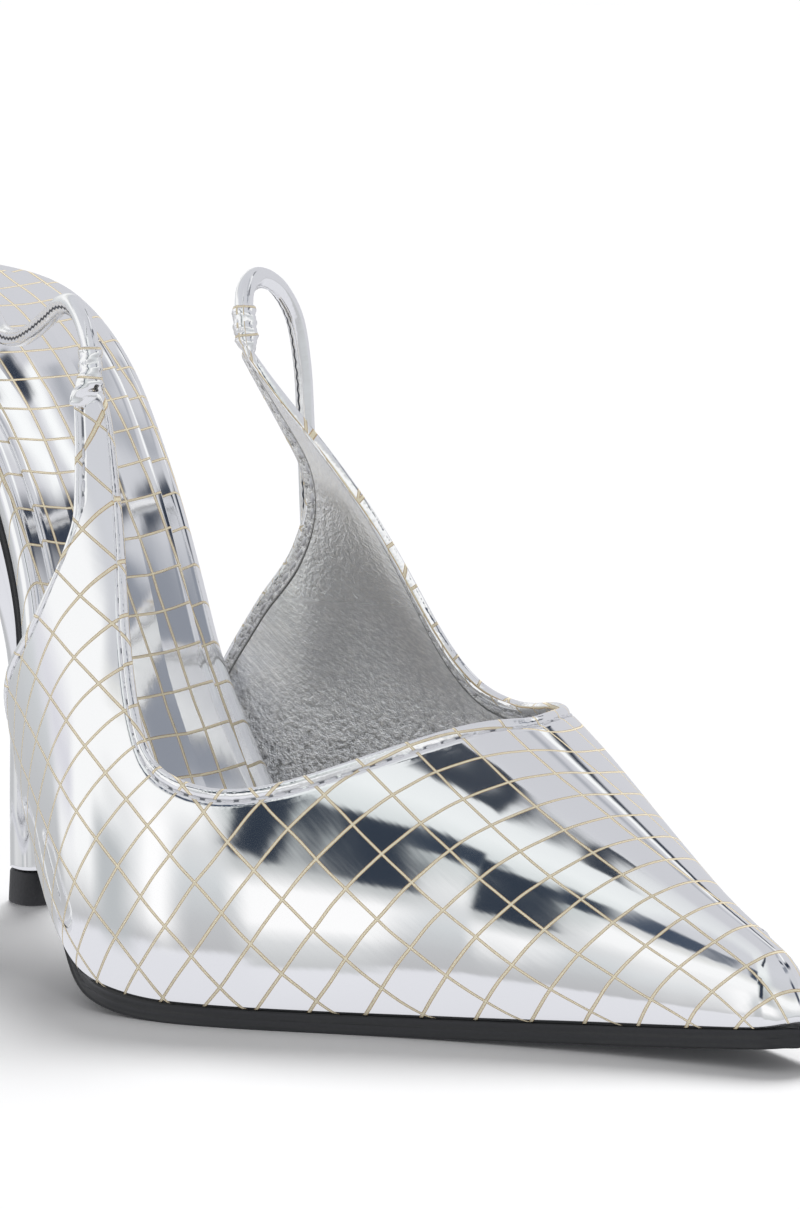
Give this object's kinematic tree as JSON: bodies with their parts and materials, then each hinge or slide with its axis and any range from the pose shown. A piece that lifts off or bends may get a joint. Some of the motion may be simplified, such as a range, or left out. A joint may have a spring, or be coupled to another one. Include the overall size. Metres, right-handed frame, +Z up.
{
  "type": "lace up heel",
  "caption": "Pointed stiletto for the right foot in mirror silver, with two side wings that end in long laces and an open back.",
  "frame": {"origin": "on the floor under the middle of the shoe's bounding box, measured without the laces", "axes": "+X from the heel's back to the toe's tip, +Y to the wearer's left, the medial side, +Z up"},
  "size_m": [0.2621, 0.148, 0.1223],
  "materials": {
    "mirror_leather": "mirror silver coated leather with a fine cream grid of squares",
    "footbed_leather": "mirror silver coated leather with a fine cream grid, over a thin board",
    "heel_shell": "smooth mirror silver over a moulded core",
    "sole_black": "thin black outsole, satin",
    "top_piece_black": "hard black top piece, satin",
    "lace_silver": "rolled metallic silver leather with one stitched edge"
  },
  "bodies": {
    "root": {"outsole": "sole_black", "insole": "footbed_leather", "upper": "mirror_leather", "heel": "heel_shell", "heel_top_piece": "top_piece_black", "lace_lateral": "lace_silver", "lace_medial": "lace_silver"}
  },
  "joints": []
}
